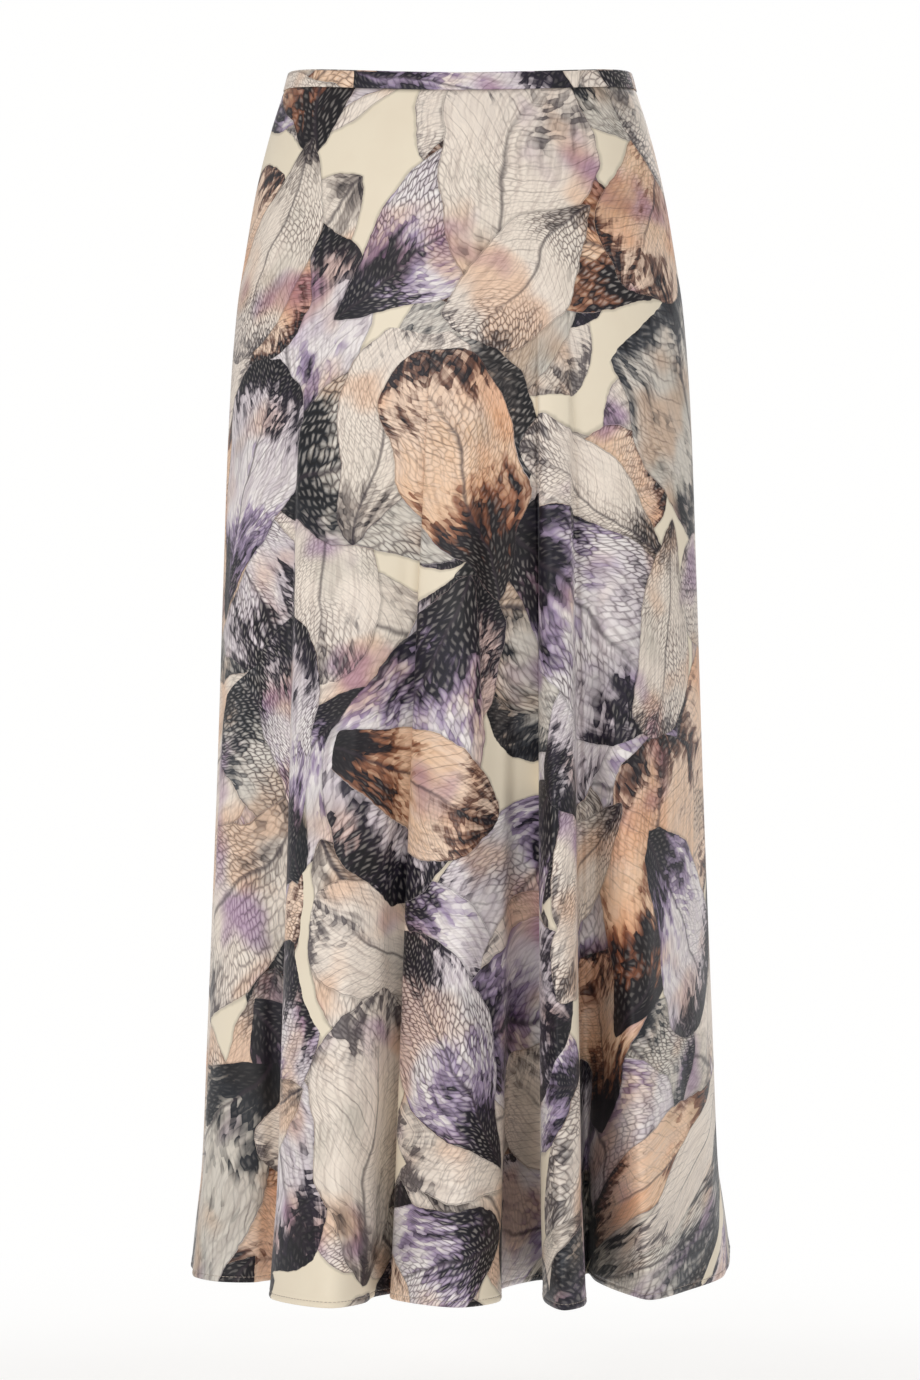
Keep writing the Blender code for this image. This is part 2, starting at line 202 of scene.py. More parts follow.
def light(red, green, blue):
    """A screen colour, each part 0 to 255, as the amounts of light that a shader takes."""
    def one(part):
        share = part / 255
        return share / 12.92 if share <= 0.04045 else ((share + 0.055) / 1.055) ** 2.4
    return (one(red), one(green), one(blue), 1.0)


def tone_ramp(tree, share, stops):
    """Colour that changes along a row of stops, each a place from 0 to 1 and a screen colour."""
    node = add_node(tree, "ShaderNodeValToRGB", Fac=share)
    row = node.color_ramp.elements
    while len(row) < len(stops):
        row.new(0.5)
    for element, (place, colour) in zip(row, stops):
        element.position = place
        element.color = light(*colour)
    return node.outputs[0]


def new_material(name, roughness, **sockets):
    """Material with a Principled shader. Plain numbers are set on the shader's own sockets."""
    material = bpy.data.materials.new(name)
    material.use_nodes = True
    tree = material.node_tree
    shader = tree.nodes["Principled BSDF"]
    feed(tree, shader, Roughness=roughness, **sockets)
    return material, tree, shader


# %% [markdown]
# ## A pale studio
#
# A garment is best judged in soft light on white. A large lamp stands at the front left,
# weaker ones at the front right and behind, and a pale sky fills the folds. Only the camera
# sees the white dome, so it doesn't wash them out. The floor is pale paint that takes a shadow,
# and further out it glows as white as the dome, so that no horizon shows.

# %% Studio
FLOOR_LEVEL = -1.03
STAGE_RADIUS = 9.0
SKY = 0.52
WHITE = 1.0
FADE_START = 0.35
FADE_END = 1.3
FLOOR_GLOW = 0.28
BACKDROP_TINT = (1, 0.998, 0.994, 1)
BLACK = (0, 0, 0, 1)


def lamp(name, place, aim, size, watts):
    """Square lamp at a place, turned towards its aim."""
    data = bpy.data.lights.new(name, "AREA")
    data.size = size
    data.energy = watts
    item = bpy.data.objects.new(name, data)
    item.location = place
    item.rotation_euler = (Vector(aim) - Vector(place)).to_track_quat("-Z", "Y").to_euler()
    bpy.context.scene.collection.objects.link(item)


middle = (0, 0, (cad_low[2] + cad_high[2]) / 2)
lamp("key lamp", (-2.6, -4.4, 0.3), middle, 2.0, 86)
lamp("fill lamp", (3.0, -3.4, 0.2), middle, 2.4, 26)
lamp("back lamp", (1.2, 3.6, 1.8), middle, 2.4, 54)

sky = bpy.data.worlds.new("sky")
sky.use_nodes = True
feed(sky.node_tree, sky.node_tree.nodes["Background"], Color=(1.0, 0.995, 0.985, 1.0), Strength=SKY)
bpy.context.scene.world = sky
bpy.context.scene.view_settings.view_transform = "Standard"

bpy.ops.mesh.primitive_circle_add(vertices=128, radius=STAGE_RADIUS, fill_type="NGON")
floor = bpy.context.object
floor.name = "floor"
floor.location = (0, 0, FLOOR_LEVEL)
floor_paint, tree, shader = new_material(
    "floor paint", 0.9, Specular_IOR_Level=0.0, Emission_Color=BACKDROP_TINT
)
spot = on_object(tree)
paint = mix_colour(tree, patches(tree, spot, 3.0), (0.90, 0.895, 0.885, 1), (0.93, 0.925, 0.915, 1))
from_middle = add_node(tree, "ShaderNodeVectorMath", {"operation": "LENGTH"}, _0=spot).outputs["Value"]
glow = ease(tree, from_middle, FADE_START, FADE_END)
own_light = calc(tree, "MULTIPLY_ADD", glow, WHITE - FLOOR_GLOW, FLOOR_GLOW)
feed(tree, shader, Base_Color=mix_colour(tree, glow, paint, BLACK), Emission_Strength=own_light)
floor.data.materials.append(floor_paint)

bpy.ops.mesh.primitive_uv_sphere_add(segments=64, ring_count=32, radius=STAGE_RADIUS)
dome = bpy.context.object
dome.name = "dome"
dome.location = (0, 0, FLOOR_LEVEL)
for ray in ("diffuse", "glossy", "transmission", "volume_scatter", "shadow"):
    setattr(dome, "visible_" + ray, False)
white, tree, shader = new_material(
    "white backdrop", 1.0, Specular_IOR_Level=0.0, Base_Color=BLACK, Emission_Color=BACKDROP_TINT,
    Emission_Strength=WHITE,
)
dome.data.materials.append(white)

# %% [markdown]
# ## The cut and its folds
#
# A bias-cut skirt is two flared panels. Over the hips the cloth lies on the figure, so each
# level is a smooth oval, given by the first table. Lower down there is more cloth than figure,
# and it falls in folds. The second table has a row for each fold at the hem, in millimetres:
# where the fold is widest on its left and right, its crest, and the valley beside it. The last
# numbers say where on the hip those lines grow out, as shares of the half width, how slanted
# the fold's sides are, at what drop the fold starts, and how late its crest, its right side and
# its valley grow: 0.8 is early, and 3 waits for the last hand's width above the hem.

# %% Tables of the cut
LENGTH = 0.886
BAND_HEIGHT = 0.013
FRONT_DIP = 0.0114
BACK_DIP = 0.002

Section = namedtuple("Section", "drop half_width front_depth back_depth")
SECTIONS = [Section(*row) for row in (
    (0, 127.0, 95, 95),
    (12, 130.2, 97, 99),
    (43, 139.9, 104, 109),
    (88, 151.0, 112, 121),
    (132, 158.6, 118, 131),
    (176, 165.2, 122, 137),
    (243, 170.4, 125, 139),
    (369, 175.4, 129, 141),
    (532, 181.2, 134, 144),
    (709, 188.6, 141, 148),
    (812, 193.0, 146, 150),
    (850, 197.0, 148, 151),
    (886, 200.5, 150, 152),
)]
Fold = namedtuple(
    "Fold",
    "name left_x left_depth crest_x crest_depth right_x right_depth valley_x valley_depth "
    "left_top right_top valley_top turn start power right_power valley_power",
)
FRONT_FOLDS = [
    Fold("right hip", -194, 42, -174, 68, -150, 71, -132, 56, -0.95, -0.80, -0.71, 0.5, 290,
         0.8, 0.8, 1.4),
    Fold("right front", -132, 162, -90, 206, -68, 182, -42, 125, -0.67, -0.24, -0.14, 0.3, 210,
         0.8, 1.1, 1.8),
    Fold("centre front", -48, 160, -2, 203, 26, 177, 60, 58, -0.105, 0.17, 0.31, 0.12, 150, 0.8, 2.2, 3.2),
    Fold("pipe", 60, 180, 72, 217, 86, 197, 94, 22, 0.335, 0.46, 0.50, 0.1, 150, 0.9, 0.9, 3.2),
    Fold("left front", 120, 138, 134, 164, 166, 108, 197, 8, 0.57, 0.83, 0.95, 0.8, 260, 0.9, 0.9, 0.9),
]
BACK_FOLDS = [
    Fold("right back hip", -199, 128, -168, 168, -130, 140, -108, 74, -0.86, -0.66, -0.59, 0.2, 280,
         0.9, 0.9, 0.9),
    Fold("right back", -90, 170, -62, 201, -34, 178, -20, 88, -0.50, -0.22, -0.16, 0.15, 220, 0.8, 0.8, 0.8),
    Fold("centre back", -4, 182, 24, 214, 52, 186, 72, 76, -0.09, 0.22, 0.30, 0.15, 180, 0.8, 0.8, 0.9),
    Fold("left back", 86, 172, 112, 200, 142, 162, 160, 96, 0.38, 0.66, 0.74, 0.15, 240, 0.9, 0.9, 1.0),
    Fold("left back hip", 178, 138, 196, 168, 207, 140, 205, 84, 0.80, 0.89, 0.925, 0.3, 380, 1.2, 1.2, 1.2),
]
SEAM_TURN = math.radians(15)
SEAM_BACK = 20
SEAM_START = 290
SEAM_POWER = 0.9
FOLD_WALL = 0.6
SIDEWAYS = 0.85
ONSET = 0.12
print(len(FRONT_FOLDS), "folds in front,", len(BACK_FOLDS), "behind")

# %% [markdown]
# ## Smooth curves from a few numbers
#
# A drawn pattern has few points and smooth lines between them. One cubic does that here, with
# two ways of choosing its slopes: steady slopes never overshoot a point, for sizes, and free
# slopes round it, for the wave of the hem.

# %% Curves
def steady_slopes(x, y):
    """Slopes for a cubic that never overshoots its points."""
    step = np.diff(y) / np.diff(x)
    slope = np.concatenate([step[:1], np.zeros(len(step) - 1), step[-1:]])
    for i in range(1, len(step)):
        if step[i - 1] * step[i] > 0:
            slope[i] = 2 * step[i - 1] * step[i] / (step[i - 1] + step[i])
    return slope


def cubic(x, y, slope, at):
    """Cubic through the points (x, y) with the given slopes, read at the values in at."""
    at = np.clip(at, x[0], x[-1])
    i = np.clip(np.searchsorted(x, at, side="right") - 1, 0, len(x) - 2)
    width = x[i + 1] - x[i]
    t = (at - x[i]) / width
    rise = (1 + 2 * t) * (1 - t) ** 2 * y[i] + t * t * (3 - 2 * t) * y[i + 1]
    lean = t * (1 - t) ** 2 * slope[i] - t * t * (1 - t) * slope[i + 1]
    return rise + width * lean


def section_at(drop, name):
    """One size of the smooth oval at a drop."""
    drops = np.array([row.drop for row in SECTIONS], float)
    sizes = np.array([getattr(row, name) for row in SECTIONS], float)
    return MM * cubic(drops, sizes, steady_slopes(drops, sizes), drop / MM)


def oval(drop, angle):
    """Point of the smooth oval at a drop and an angle from the centre front."""
    front = np.cos(angle) >= 0
    depth = np.where(front, section_at(drop, "front_depth"), section_at(drop, "back_depth"))
    return section_at(drop, "half_width") * np.sin(angle), -depth * np.cos(angle)


def waist_dip(angle):
    """How much lower the waist edge is than at the side seams."""
    dip = np.where(np.cos(angle) >= 0, FRONT_DIP, BACK_DIP)
    return dip * np.cos(angle) ** 2


# %% [markdown]
# ## The hem
#
# Seen from below, the hem is one closed wavy ring. Each fold adds six points to it: the foot of
# its left side, left, crest, right, the foot of its right side and the valley. Every point also
# remembers from where on the hip it hangs, so that the same ring, shrunk and straightened,
# gives every level above it. The side seams lie a little behind the widest place of the waist,
# where the zip's slider doesn't break the outline.

# %% Hem ring
def wall_foot(edge, valley, turn):
    """Point on a fold's side between its widest place and the valley beside it."""
    x = edge[0] + turn * (valley[0] - edge[0])
    depth = edge[1] + FOLD_WALL * (valley[1] - edge[1])
    share = edge[2] + 0.5 * (valley[2] - edge[2])
    return (x, depth, share)


def half_guides(folds, side):
    """Points of one panel's hem: x, depth, share of the half width at the hip, start, power."""
    edge = SECTIONS[-1].half_width
    seam_depth = side * SEAM_BACK
    seam_share = 1.0 if side < 0 else math.cos(SEAM_TURN)
    points = [(-edge, seam_depth, -seam_share, SEAM_START, SEAM_POWER)]
    before, power_before = points[0][:3], SEAM_POWER
    for number, fold in enumerate(folds):
        left = (fold.left_x, fold.left_depth, fold.left_top)
        right = (fold.right_x, fold.right_depth, fold.right_top)
        middle = (fold.crest_x - fold.left_x) / (fold.right_x - fold.left_x)
        crest_top = fold.left_top + middle * (fold.right_top - fold.left_top)
        crest = (fold.crest_x, fold.crest_depth, crest_top)
        valley = (fold.valley_x, fold.valley_depth, fold.valley_top)
        feet = wall_foot(left, before, fold.turn), wall_foot(right, valley, fold.turn)
        powers = (
            (power_before + fold.power) / 2,
            fold.power,
            fold.power,
            fold.right_power,
            (fold.right_power + fold.valley_power) / 2,
        )
        spots = (feet[0], left, crest, right, feet[1])
        points += [(*spot, fold.start, power) for spot, power in zip(spots, powers)]
        after = folds[number + 1] if number + 1 < len(folds) else fold
        points.append((*valley, (fold.start + after.start) / 2, fold.valley_power))
        before, power_before = valley, fold.valley_power
    points.append((edge, seam_depth, seam_share, SEAM_START, SEAM_POWER))
    return points


def ring_guides():
    """The whole hem, front and then back: x, y, angle from the centre front, start, power."""
    ring = []
    for x, depth, share, start, power in half_guides(FRONT_FOLDS, -1)[:-1]:
        ring.append((x, -depth, math.asin(share), start, power))
    for x, depth, share, start, power in half_guides(BACK_FOLDS, 1)[:0:-1]:
        ring.append((x, depth, math.pi - math.asin(share), start, power))
    ring = np.array(ring, float)
    ring[0, 2] -= SEAM_TURN
    return ring


def hem_ring():
    """Places of the hem's guide points, and a function that reads the hem at any place."""
    ring = ring_guides()
    lap = 4
    long = np.concatenate([ring[-lap:], ring, ring[:lap]])
    long[:lap, 2] -= 2 * math.pi
    long[-lap:, 2] += 2 * math.pi
    chords = np.hypot(np.diff(long[:, 0]), np.diff(long[:, 1]))
    place = np.concatenate([[0], np.cumsum(np.sqrt(chords))])
    place -= place[lap]

    def read(at):
        columns = {}
        for name, values in zip(("x", "y", "angle", "start", "power"), long.T):
            free = name in ("x", "y")
            slope = np.gradient(values, place) if free else steady_slopes(place, values)
            columns[name] = cubic(place, values, slope, at) * (MM if free else 1)
        return columns

    return place[lap : lap + len(ring) + 1], read


SEAM_STEPS = np.array([0.5, 1.1, 2.0, 3.4, 5.5]) * MM


def hem_columns(side, count):
    """Columns of a panel at the hem, closer together where it bends and beside the seams."""
    place, read = hem_ring()
    seam = len(half_guides(FRONT_FOLDS, -1)) - 1
    first, last = (0, seam) if side < 0 else (seam, len(place) - 1)
    fine = np.linspace(place[first], place[last], 8000)
    curve = read(fine)
    run = np.hypot(np.gradient(curve["x"]), np.gradient(curve["y"]))
    heading = np.unwrap(np.arctan2(np.gradient(curve["y"]), np.gradient(curve["x"])))
    bend = np.abs(np.gradient(heading))
    swing = np.abs(np.gradient(curve["angle"]))
    weight = run / run.sum() + 0.5 * bend / bend.sum() + 0.5 * swing / swing.sum()
    travel = np.concatenate([[0], np.cumsum((weight[1:] + weight[:-1]) / 2)])
    along = np.cumsum(run)
    chosen = np.interp(np.linspace(0, travel[-1], count - 2 * len(SEAM_STEPS) + 1), travel, fine)
    near = np.interp(np.concatenate([SEAM_STEPS, along[-1] - SEAM_STEPS]), along, fine)
    return read(np.sort(np.concatenate([chosen, near])))


# %% [markdown]
# ## Creases
#
# Beside its big folds, soft cloth has shallow ripples that nobody planned: long faint ones
# where a fold starts, and short pulls at the hips. Each is listed here: the angle from
# the panel's centre in degrees and the drop in millimetres of its two ends, how wide it is, and
# how far it stands out, or in where the number is negative.

# %% Table of creases
Crease = namedtuple("Crease", "angle_top drop_top angle_end drop_end width depth")
FRONT_CREASES = [Crease(*row) for row in (
    (0.5, 395, 1.5, 520, 13, -1.6),
    (-2.5, 170, -5.5, 400, 10, -1.3),
    (-34, 60, -41, 300, 16, -1.1),
    (-25, 330, -27, 560, 17, -1.9),
    (-31, 440, -33, 700, 12, 1.3),
    (-19, 520, -18.5, 800, 15, -1.5),
    (-48, 210, -52, 470, 18, -1.8),
    (-64, 120, -60, 270, 14, -0.9),
    (2, 560, 4, 860, 18, 1.9),
    (6, 300, 7.5, 470, 14, -1.2),
    (17, 240, 19.5, 400, 12, -1.2),
    (33, 330, 36, 640, 16, -1.7),
    (42, 480, 46, 820, 19, 2.0),
    (52, 260, 54, 450, 15, -1.4),
    (57, 600, 60, 860, 17, -1.8),
    (66, 90, 62, 240, 13, -0.8),
    (73, 330, 75, 560, 12, 1.2),
    (-72, 420, -74, 700, 12, 1.1),
)]
BACK_CREASES = [Crease(*row) for row in (
    (-3, 160, -4, 380, 15, -1.2),
    (-1, 440, 1, 740, 17, 1.7),
    (8, 300, 10, 520, 13, -1.5),
    (16, 120, 19, 330, 16, -1.1),
    (28, 380, 29, 660, 18, -1.8),
    (36, 560, 38, 840, 15, 1.6),
    (50, 220, 48, 430, 14, -1.2),
    (63, 100, 58, 260, 13, -0.8),
    (69, 430, 71, 700, 12, 1.1),
    (-9, 560, -11, 850, 14, 1.5),
    (-20, 280, -22, 520, 16, -1.6),
    (-33, 140, -35, 360, 15, -1.0),
    (-38, 480, -41, 760, 18, 1.8),
    (-52, 260, -55, 480, 14, -1.3),
    (-66, 110, -61, 250, 13, -0.8),
    (-71, 460, -73, 720, 12, -1.1),
)]


def crease_rise(creases, angle, drop, run):
    """How far each point stands out, from its column's angle, its drop and its way along."""
    rise = np.zeros_like(run)
    for crease in creases:
        share = (drop - crease.drop_top * MM) / ((crease.drop_end - crease.drop_top) * MM)
        fade = np.where((share > 0) & (share < 1), np.sin(math.pi * np.clip(share, 0, 1)) ** 2, 0)
        line = crease.angle_top + share * (crease.angle_end - crease.angle_top)
        for row in np.flatnonzero(fade.max(axis=1) > 0):
            centre = np.interp(line[row].mean(), angle, run[row])
            away = (run[row] - centre) / (crease.width * MM)
            rise[row] += crease.depth * MM * fade[row] * np.exp(-(away**2) * 2)
    return rise


# %% [markdown]
# ## The panels' surface
#
# A panel is a grid of points: a row for each level, a column for each place round the hem. The
# rows are closer together at the top and in the last millimetres, where the hem is turned up
# twice and stitched, so that it has a small rounded rim and a groove under the stitches. At the
# side seams the cloth turns in, and the two panels meet in a fine ditch.

# %% Panel surface
ROWS = 138
ROW_CROWD = 1.12
HEM_SHARE = 0.013
HEM_STEPS = np.array([0.0, 0.6, 1.4, 2.3, 3.2, 4.0, 4.8, 5.8, 7.4, 10.0]) * MM
HEM_RISE = np.array([-0.25, 0.15, 0.40, 0.45, 0.25, -0.10, 0.20, 0.30, 0.10, 0.0]) * MM
STITCH_ABOVE = 4.0 * MM
SEAM_ROLL = 0.8 * MM
SEAM_REACH = 1.6 * MM
MEETING_GAP = 0.04 * MM


def fold_growth(drop, start, power):
    """How far a fold has grown, from 0 where it starts to 1 at the hem."""
    reach = np.clip((drop - start) / (LENGTH - start), 0, 1)
    soft = reach * reach / (reach + ONSET) * (1 + ONSET)
    return soft ** power


def outward_of(grid):
    """Unit normals of a grid of points, pointing away from the wearer."""
    across = np.gradient(grid, axis=1)
    down = np.gradient(grid, axis=0)
    normal = np.cross(down, across)
    return normal / np.linalg.norm(normal, axis=2, keepdims=True)


def row_lengths(grid, centre):
    """Distance of each point along its row from the column nearest to the centre."""
    steps = np.linalg.norm(np.diff(grid, axis=1), axis=2)
    run = np.concatenate([np.zeros((len(grid), 1)), np.cumsum(steps, axis=1)], axis=1)
    return run - run[:, centre : centre + 1]


def panel_surface(side, columns, creases):
    """Outer face of a panel, and the place of each point along its row."""
    angle = columns["angle"]
    middle = 0 if side < 0 else math.pi
    turn = np.degrees(angle - middle)
    dip = waist_dip(angle)
    top = BAND_HEIGHT + MEETING_GAP + dip
    hem_x, hem_y = oval(np.full(len(angle), LENGTH), angle)
    shares = np.linspace(0, 1, ROWS + 1) ** ROW_CROWD
    hem_shares = 1 - HEM_STEPS[::-1] / (LENGTH - top.mean())
    shares = np.concatenate([shares[shares < 1 - HEM_SHARE], hem_shares])
    grid = np.zeros((len(shares), len(angle), 3))
    for row, share in enumerate(shares):
        drop = top + share * (LENGTH - top)
        x, y = oval(drop - dip * (1 - share), angle)
        grown = fold_growth(drop, columns["start"] * MM, columns["power"])
        grid[row, :, 0] = x + grown**SIDEWAYS * (columns["x"] - hem_x)
        grid[row, :, 1] = y + grown * (columns["y"] - hem_y)
        grid[row, :, 2] = -drop
    centre = int(np.argmin(np.abs(turn)))
    run = row_lengths(grid, centre)
    above_hem = LENGTH + grid[:, :, 2]
    rise = crease_rise(creases, turn, -grid[:, :, 2], run)
    rise += np.interp(above_hem, HEM_STEPS, HEM_RISE)
    seam_away = np.minimum(run - run[:, :1], run[:, -1:] - run)
    rise -= SEAM_ROLL * np.clip(1 - seam_away / SEAM_REACH, 0, 1) ** 2
    under_band = np.clip(1 - (grid[0, :, 2] - grid[:, :, 2]) / SEAM_REACH, 0, 1)
    rise -= 0.5 * SEAM_ROLL * under_band**2
    level = outward_of(grid) * (1, 1, 0)
    grid += rise[:, :, None] * level
    for edge, beside in ((0, 1), (-1, -2)):
        inward = grid[:, beside] - grid[:, edge]
        grid[:, edge] += MEETING_GAP * inward / np.linalg.norm(inward, axis=1, keepdims=True)
    return grid, run


# %% [markdown]
# ## From points to cloth
#
# Cloth is a thin sheet with a right side and a reverse. The grid becomes one layer of faces,
# and Solidify gives it its thickness, with the turned hem twice as thick as the rest by a
# vertex group. Its second material goes on the reverse.
#
# The map of the print has to be flat cloth, or the pattern would swim over the folds. A flared
# panel laid flat is a piece of a ring, so each point goes to its distance from the ring's
# centre and its own distance along its row. That keeps the print at its real size everywhere.

# %% Cloth pieces
CLOTH = 0.55 * MM
HEM_THICK = 1.3 * MM
TURNED_UP = HEM_STEPS[-3]
FLARE_RADIUS = 0.284
FRONT_COLUMNS = 268
BACK_COLUMNS = 246
garment = bpy.data.collections.new("skirt")
bpy.context.scene.collection.children.link(garment)


def grid_mesh(name, grid, flat, closed=False):
    """Mesh of quads through a grid of points, with a map of where each lies on the flat cloth.

    A closed grid joins its last column to its first and is capped at both ends.
    """
    rows, count = grid.shape[:2]
    mesh = bpy.data.meshes.new(name)
    cage = bmesh.new()
    chart = cage.loops.layers.uv.new("cloth")
    points = [[cage.verts.new(spot) for spot in row] for row in grid]
    for r in range(rows - 1):
        for c in range(count if closed else count - 1):
            corners = ((r, c), (r + 1, c), (r + 1, c + 1), (r, c + 1))
            face = cage.faces.new([points[i][j % count] for i, j in corners])
            face.smooth = True
            for loop, (i, j) in zip(face.loops, corners):
                loop[chart].uv = flat[i, j]
    if closed:
        for end in (0, -1):
            for loop in cage.faces.new(points[end]).loops:
                loop[chart].uv = flat[end, 0]
        bmesh.ops.recalc_face_normals(cage, faces=cage.faces)
    cage.to_mesh(mesh)
    cage.free()
    return mesh


def new_piece(name, mesh, *finishes):
    """Object among the skirt's pieces, with its finishes."""
    for finish in finishes:
        mesh.materials.append(finish)
    piece = bpy.data.objects.new(name, mesh)
    garment.objects.link(piece)
    return piece


def flat_panel(grid, run, shift):
    """Where each point of a panel lies on the cloth it was cut from."""
    radius = FLARE_RADIUS - grid[:, :, 2]
    sweep = run / radius
    place = np.stack([radius * np.sin(sweep), -radius * np.cos(sweep)], axis=2)
    return place + np.array(shift)


def cloth_piece(name, grid, flat, *finishes):
    """Panel of cloth: right side outwards, reverse inwards, with a thicker hem."""
    piece = new_piece(name, grid_mesh(name, grid, flat), *finishes)
    hem = piece.vertex_groups.new(name="hem")
    turned_up = -grid[:, :, 2].ravel() > LENGTH - TURNED_UP
    hem.add([int(i) for i in np.flatnonzero(turned_up)], 1.0, "REPLACE")
    wall = piece.modifiers.new("thickness", "SOLIDIFY")
    wall.thickness = HEM_THICK
    wall.offset = -1
    wall.vertex_group = hem.name
    wall.thickness_vertex_group = CLOTH / HEM_THICK
    wall.material_offset = 1
    wall.material_offset_rim = 0
    return piece


# %% [markdown]
# ## The print
#
# The cloth is printed all over with large overlapping leaves in stone, peach, lilac and slate
# on cream, with dark bases and tips and a net of fine veins. It is laid as a printer would lay
# stencils: each scatter divides the cloth into loose squares and puts one leaf in each, turned
# and sized at random, and seven scatters lie on each other. For every place on the cloth, the
# topmost leaf passes on how far along and across it the place lies.

# %% Leaves of the print
Scatter = namedtuple("Scatter", "spacing shift_x shift_y turn loose half_length half_width")
SCATTERS = [
    Scatter(0.165, 3.1, 7.7, 0.3, 0.45, 0.52, 0.34),
    Scatter(0.210, 9.3, 2.9, 1.1, 0.40, 0.54, 0.33),
    Scatter(0.180, 5.7, 5.2, 2.0, 0.45, 0.52, 0.30),
    Scatter(0.225, 1.9, 8.4, 0.7, 0.40, 0.53, 0.34),
    Scatter(0.190, 7.2, 1.3, 1.6, 0.45, 0.52, 0.28),
    Scatter(0.240, 4.4, 3.6, 2.6, 0.40, 0.52, 0.31),
    Scatter(0.205, 8.8, 6.1, 0.1, 0.40, 0.50, 0.24),
]
LEAF_OUTLINE = [
    (0.0, 0.0), (0.04, 0.16), (0.2, 0.5), (0.45, 0.9), (0.66, 1.0), (0.85, 0.82), (0.96, 0.4), (1.0, 0.0),
]
LEAF_LENGTH = 0.20
LEAF_HALF = 0.06
EDGE_SOFT = 0.5 * MM
SHADOW_REACH = 2.6 * MM
SHADOW_DEPTH = 0.72


def leaf_outline(tree, along):
    """Half width of a leaf, 0 to 1, from its base at 0 to its tip at 1."""
    node = add_node(tree, "ShaderNodeFloatCurve", Value=along)
    line = node.mapping.curves[0]
    line.points[0].location = LEAF_OUTLINE[0]
    line.points[-1].location = LEAF_OUTLINE[-1]
    for place in LEAF_OUTLINE[1:-1]:
        line.points.new(*place)
    node.mapping.update()
    return node.outputs[0]


def lay_leaves(tree, cloth, under, row):
    """Lay one scatter of leaves over what is under it."""
    grid = (1 / row.spacing,) * 3
    spot = add_node(tree, "ShaderNodeMapping", Vector=cloth, Location=(row.shift_x, row.shift_y, 0),
                    Rotation=(0, 0, row.turn), Scale=grid).outputs[0]
    cell = cells(tree, spot, row.loose)
    chance = add_node(tree, "ShaderNodeSeparateColor", Color=cell["Color"]).outputs
    away = calc_vector(tree, "SUBTRACT", spot, cell["Position"])
    local = unpack(tree, turned(tree, away, times(tree, chance[0], 4 * math.pi)))
    size = calc(tree, "MULTIPLY_ADD", chance[1], 0.30, 0.75)
    length = times(tree, size, 2 * row.half_length)
    along = calc(tree, "ADD", calc(tree, "DIVIDE", local[0], length), 0.5)
    across = calc(tree, "DIVIDE", local[1], row.half_width)
    reach = times(tree, leaf_outline(tree, along), size)
    room = calc(tree, "SUBTRACT", reach, calc(tree, "ABSOLUTE", across))
    room = times(tree, room, row.half_width * row.spacing)
    mask = ease(tree, room, 0.0, EDGE_SOFT)
    shade = ease(tree, room, -SHADOW_REACH, 0.0, 1.0, SHADOW_DEPTH)
    return {
        "leaf": mix_vector(tree, mask, under["leaf"], pack(tree, along, across, room)),
        "chance": mix_colour(tree, mask, under["chance"], cell["Color"]),
        "light": mix_vector(tree, mask, stretch(tree, under["light"], shade), (1.0, 1.0, 1.0)),
        "bare": times(tree, under["bare"], calc(tree, "SUBTRACT", 1.0, mask)),
    }


def top_leaf(tree, cloth):
    """The topmost leaf at each place of the cloth, its edges a little wavy and frayed."""
    half = (0.5, 0.5, 0.5)
    sway = stretch(tree, calc_vector(tree, "SUBTRACT", noise(tree, cloth, 11.0, 1.0, 1), half), 0.045)
    fray = stretch(tree, calc_vector(tree, "SUBTRACT", noise(tree, cloth, 60.0, 3.0, 1), half), 0.006)
    wavy = calc_vector(tree, "ADD", calc_vector(tree, "ADD", cloth, sway), fray)
    state = {"leaf": (0.5, 0.0, 0.02), "chance": (0.5,) * 4, "light": (1.0, 1.0, 1.0), "bare": 1.0}
    for row in SCATTERS:
        state = lay_leaves(tree, wavy, state, row)
    return state


# %% [markdown]
# ## The colours of a leaf
#
# Each leaf takes one of four runs of colour, from its base to its tip. The run is pushed back
# and forth by streaks that fan out with the leaf and by soft clouds, as dye spreads in wet
# cloth. Between the veins lie hundreds of small closed fields, and each takes its own step of
# the run, so that dark and light fray into each other.
# Over it lie the net of the fields' edges, the slanted side veins, the rib and a thin outline.

# %% Print colours
GROUND = (227, 215, 193)
TONES = {
    "stone": [(0.0, (50, 43, 46)), (0.13, (150, 139, 131)), (0.28, (226, 214, 200)), (0.62, (236, 223, 209)),
              (0.86, (224, 212, 200)), (1.0, (104, 96, 96))],
    "peach": [(0.0, (15, 12, 20)), (0.25, (30, 22, 28)), (0.36, (146, 96, 70)), (0.48, (233, 196, 163)),
              (0.80, (233, 205, 182)), (0.91, (120, 86, 72)), (1.0, (34, 27, 33))],
    "lilac": [(0.0, (13, 11, 21)), (0.26, (30, 24, 40)), (0.39, (160, 142, 170)), (0.52, (233, 226, 223)),
              (0.75, (204, 193, 198)), (0.85, (40, 32, 48)), (1.0, (17, 15, 25))],
    "slate": [(0.0, (15, 16, 24)), (0.26, (36, 38, 44)), (0.41, (208, 200, 188)), (0.67, (208, 201, 191)),
              (0.82, (66, 68, 73)), (1.0, (20, 21, 30))],
}
TONE_STARTS = {"peach": 0.36, "lilac": 0.60, "slate": 0.79}
VEIN_SPACING = 12.0 * MM
VEIN_SLANT = 0.9
FIELD_ALONG = 4.3 * MM
FIELD_ACROSS = 5.4 * MM
FIELD_LOOSE = 0.62


